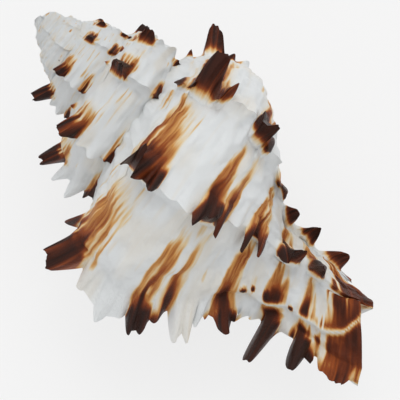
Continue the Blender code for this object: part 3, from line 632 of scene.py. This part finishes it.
# Porcelain white that turns through cream, ochre and red brown to near black with the paint value,
# streaked along the growth.
def shellMaterial():
    item, tree, shader = nodeMaterial("shell glaze")
    new, link = tree.nodes.new, tree.links.new
    paint = new("ShaderNodeAttribute")
    paint.attribute_name = "paint"
    uv = new("ShaderNodeUVMap")
    uv.uv_map = "growth"
    stretch = new("ShaderNodeMapping")
    stretch.inputs["Scale"].default_value = (160.0, 12.0, 1.0)
    link(uv.outputs[0], stretch.inputs["Vector"])
    noise = new("ShaderNodeTexNoise")
    noise.inputs["Scale"].default_value = 1.0
    noise.inputs["Detail"].default_value = 4.0
    link(stretch.outputs[0], noise.inputs["Vector"])
    spread = new("ShaderNodeMath")
    spread.operation = "MULTIPLY_ADD"
    spread.inputs[1].default_value = 0.35
    spread.inputs[2].default_value = -0.175
    link(noise.outputs["Fac"], spread.inputs[0])
    keep = new("ShaderNodeMapRange")  # streaks show where there is some colour
    keep.inputs["From Max"].default_value = 0.25
    link(paint.outputs["Fac"], keep.inputs["Value"])
    local = new("ShaderNodeMath")
    local.operation = "MULTIPLY"
    link(spread.outputs[0], local.inputs[0])
    link(keep.outputs[0], local.inputs[1])
    level = new("ShaderNodeMath")
    level.operation = "ADD"
    link(paint.outputs["Fac"], level.inputs[0])
    link(local.outputs[0], level.inputs[1])
    ramp = new("ShaderNodeValToRGB")
    stops = [
        (0.0, (0.75, 0.77, 0.775)), (0.10, (0.75, 0.73, 0.68)), (0.20, (0.74, 0.57, 0.33)),
        (0.33, (0.62, 0.30, 0.085)), (0.47, (0.29, 0.065, 0.013)), (0.66, (0.115, 0.022, 0.006)),
        (0.85, (0.045, 0.010, 0.004)), (1.0, (0.022, 0.007, 0.004)),
    ]
    while len(ramp.color_ramp.elements) < len(stops):
        ramp.color_ramp.elements.new(0.5)
    for element, (spot, colour) in zip(ramp.color_ramp.elements, stops):
        element.position = spot
        element.color = (*colour, 1.0)
    link(level.outputs[0], ramp.inputs["Fac"])
    link(ramp.outputs["Color"], shader.inputs["Base Color"])
    shader.inputs["Roughness"].default_value = 0.36
    shader.inputs["Specular IOR Level"].default_value = 0.17
    height = None  # fine relief: growth lines, threads and pits
    fine = [((260.0, 520.0, 1.0), 0.5), ((900.0, 160.0, 1.0), 0.35), ((1100.0, 1300.0, 1.0), 0.3)]
    for scale, share in fine:
        stretched = new("ShaderNodeMapping")
        stretched.inputs["Scale"].default_value = scale
        link(uv.outputs[0], stretched.inputs["Vector"])
        layer = new("ShaderNodeTexNoise")
        layer.inputs["Scale"].default_value = 1.0
        layer.inputs["Detail"].default_value = 1.0
        link(stretched.outputs[0], layer.inputs["Vector"])
        total = new("ShaderNodeMath")
        total.operation = "MULTIPLY_ADD"
        total.inputs[1].default_value = share
        total.inputs[2].default_value = 0.0
        link(layer.outputs["Fac"], total.inputs[0])
        if height is not None:
            link(height, total.inputs[2])
        height = total.outputs[0]
    bump = new("ShaderNodeBump")
    bump.inputs["Strength"].default_value = 0.7
    bump.inputs["Distance"].default_value = 0.0005
    link(height, bump.inputs["Height"])
    link(bump.outputs[0], shader.inputs["Normal"])
    return item


# Body whorl and spire, in place of the solid.
def addShell():
    glaze = shellMaterial()
    full = columnsFor(290, 1.0)
    coreCount = 30
    seam = varixAngles[7]
    bodyRows = rowsFor([6, 5, 4, 3, 2, 1, 0], (26, 12, 12, 8), seam)
    points, paint, along, angles = shellSurface(full, bodyRows, coreCount)
    x = np.concatenate([wallAt(full)[0], coreAt(wallLine[-1], coreLine, coreCount)[:, 0]])
    lip = lipRows(points[-1], x, len(full))
    points = np.concatenate([points, lip])
    fade = np.clip(1 - np.arange(1, len(lip) + 1) / 3.0, 0, 1)[:, None]
    paint = np.concatenate([paint, np.maximum(paint[-1] * fade, 0.03)])
    angles = np.concatenate([angles, angles[-1] + 2.5 * np.arange(1, len(lip) + 1)])
    body = gridMesh("body_whorl", points, paint, along, angles, (True, False))
    at = np.linspace(0, 1, 500)
    part = columnsFor(120, np.interp(68.0, curve(wallLine, at)[:, 0], at))
    spireRows = rowsFor(list(range(len(varixAngles) - 1, 6, -1)), (9, 9, 8, 5), coil["apexAngle"])
    points, paint, along, angles = shellSurface(part, spireRows, 8)
    top = gridMesh("spire", points, paint, along, angles, (True, True))
    for item in (body, top, *addThroat()):
        item.data.materials.append(glaze)
        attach(item, "root")
        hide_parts("murex_shell")
        print(item.name, len(item.data.polygons), "faces")


# Long lens that looks straight at the coil axis, rolled so that the apex is at the top left.
def addCamera():
    view = {
        "centre": (0.05414, -0.00287), "turn": 47.0, "distance": 1.2, "width": 0.0842, "sensor": 36.0,
    }
    data = bpy.data.cameras.new("camera")
    data.sensor_width = view["sensor"]
    data.lens = view["sensor"] * view["distance"] / view["width"]
    camera = bpy.data.objects.new("camera", data)
    x, y = view["centre"]
    turned = Matrix.Rotation(math.radians(view["turn"]), 4, "Z")
    local = Matrix.Translation((x, y, view["distance"])) @ turned
    camera.matrix_world = resting @ local
    bpy.context.collection.objects.link(camera)
    bpy.context.scene.camera = camera


# Pale floor and soft studio light.
def addStage():
    stage = {
        "half": 1.5, "floor": (0.16, 0.16, 0.16), "glow": 0.725, "world": 0.87,
        "key": 18.0, "keySize": 1.6, "keyHeight": 2.4, "keyTilt": (-32, -22),
    }
    mesh = bpy.data.meshes.new("floor")
    half = stage["half"]
    corners = [(-half, -half, 0), (half, -half, 0), (half, half, 0), (-half, half, 0)]
    mesh.from_pydata(corners, [], [(0, 1, 2, 3)])
    floor = bpy.data.objects.new("floor", mesh)
    bpy.context.collection.objects.link(floor)
    item, tree, shader = nodeMaterial("floor")
    shader.inputs["Base Color"].default_value = (*stage["floor"], 1.0)
    shader.inputs["Roughness"].default_value = 0.9
    shader.inputs["Emission Color"].default_value = (1.0, 1.0, 1.0, 1.0)
    shader.inputs["Emission Strength"].default_value = stage["glow"]
    mesh.materials.append(item)
    world = bpy.data.worlds.new("studio")
    world.use_nodes = True
    world.node_tree.nodes["Background"].inputs["Strength"].default_value = stage["world"]
    world.node_tree.nodes["Background"].inputs["Color"].default_value = (1.0, 1.0, 1.0, 1.0)
    bpy.context.scene.world = world
    light = bpy.data.lights.new("key", "AREA")
    light.energy = stage["key"]
    light.size = stage["keySize"]
    key = bpy.data.objects.new("key", light)
    first, second = (math.radians(tilt) for tilt in stage["keyTilt"])
    aim = Matrix.Rotation(first, 4, "X") @ Matrix.Rotation(second, 4, "Y")
    key.matrix_world = aim @ Matrix.Translation((0, 0, stage["keyHeight"]))
    bpy.context.collection.objects.link(key)
    bpy.context.scene.view_settings.view_transform = "Standard"


addShell()
print("shell made")
addCamera()
print("camera set")
addStage()
print("stage and light set")
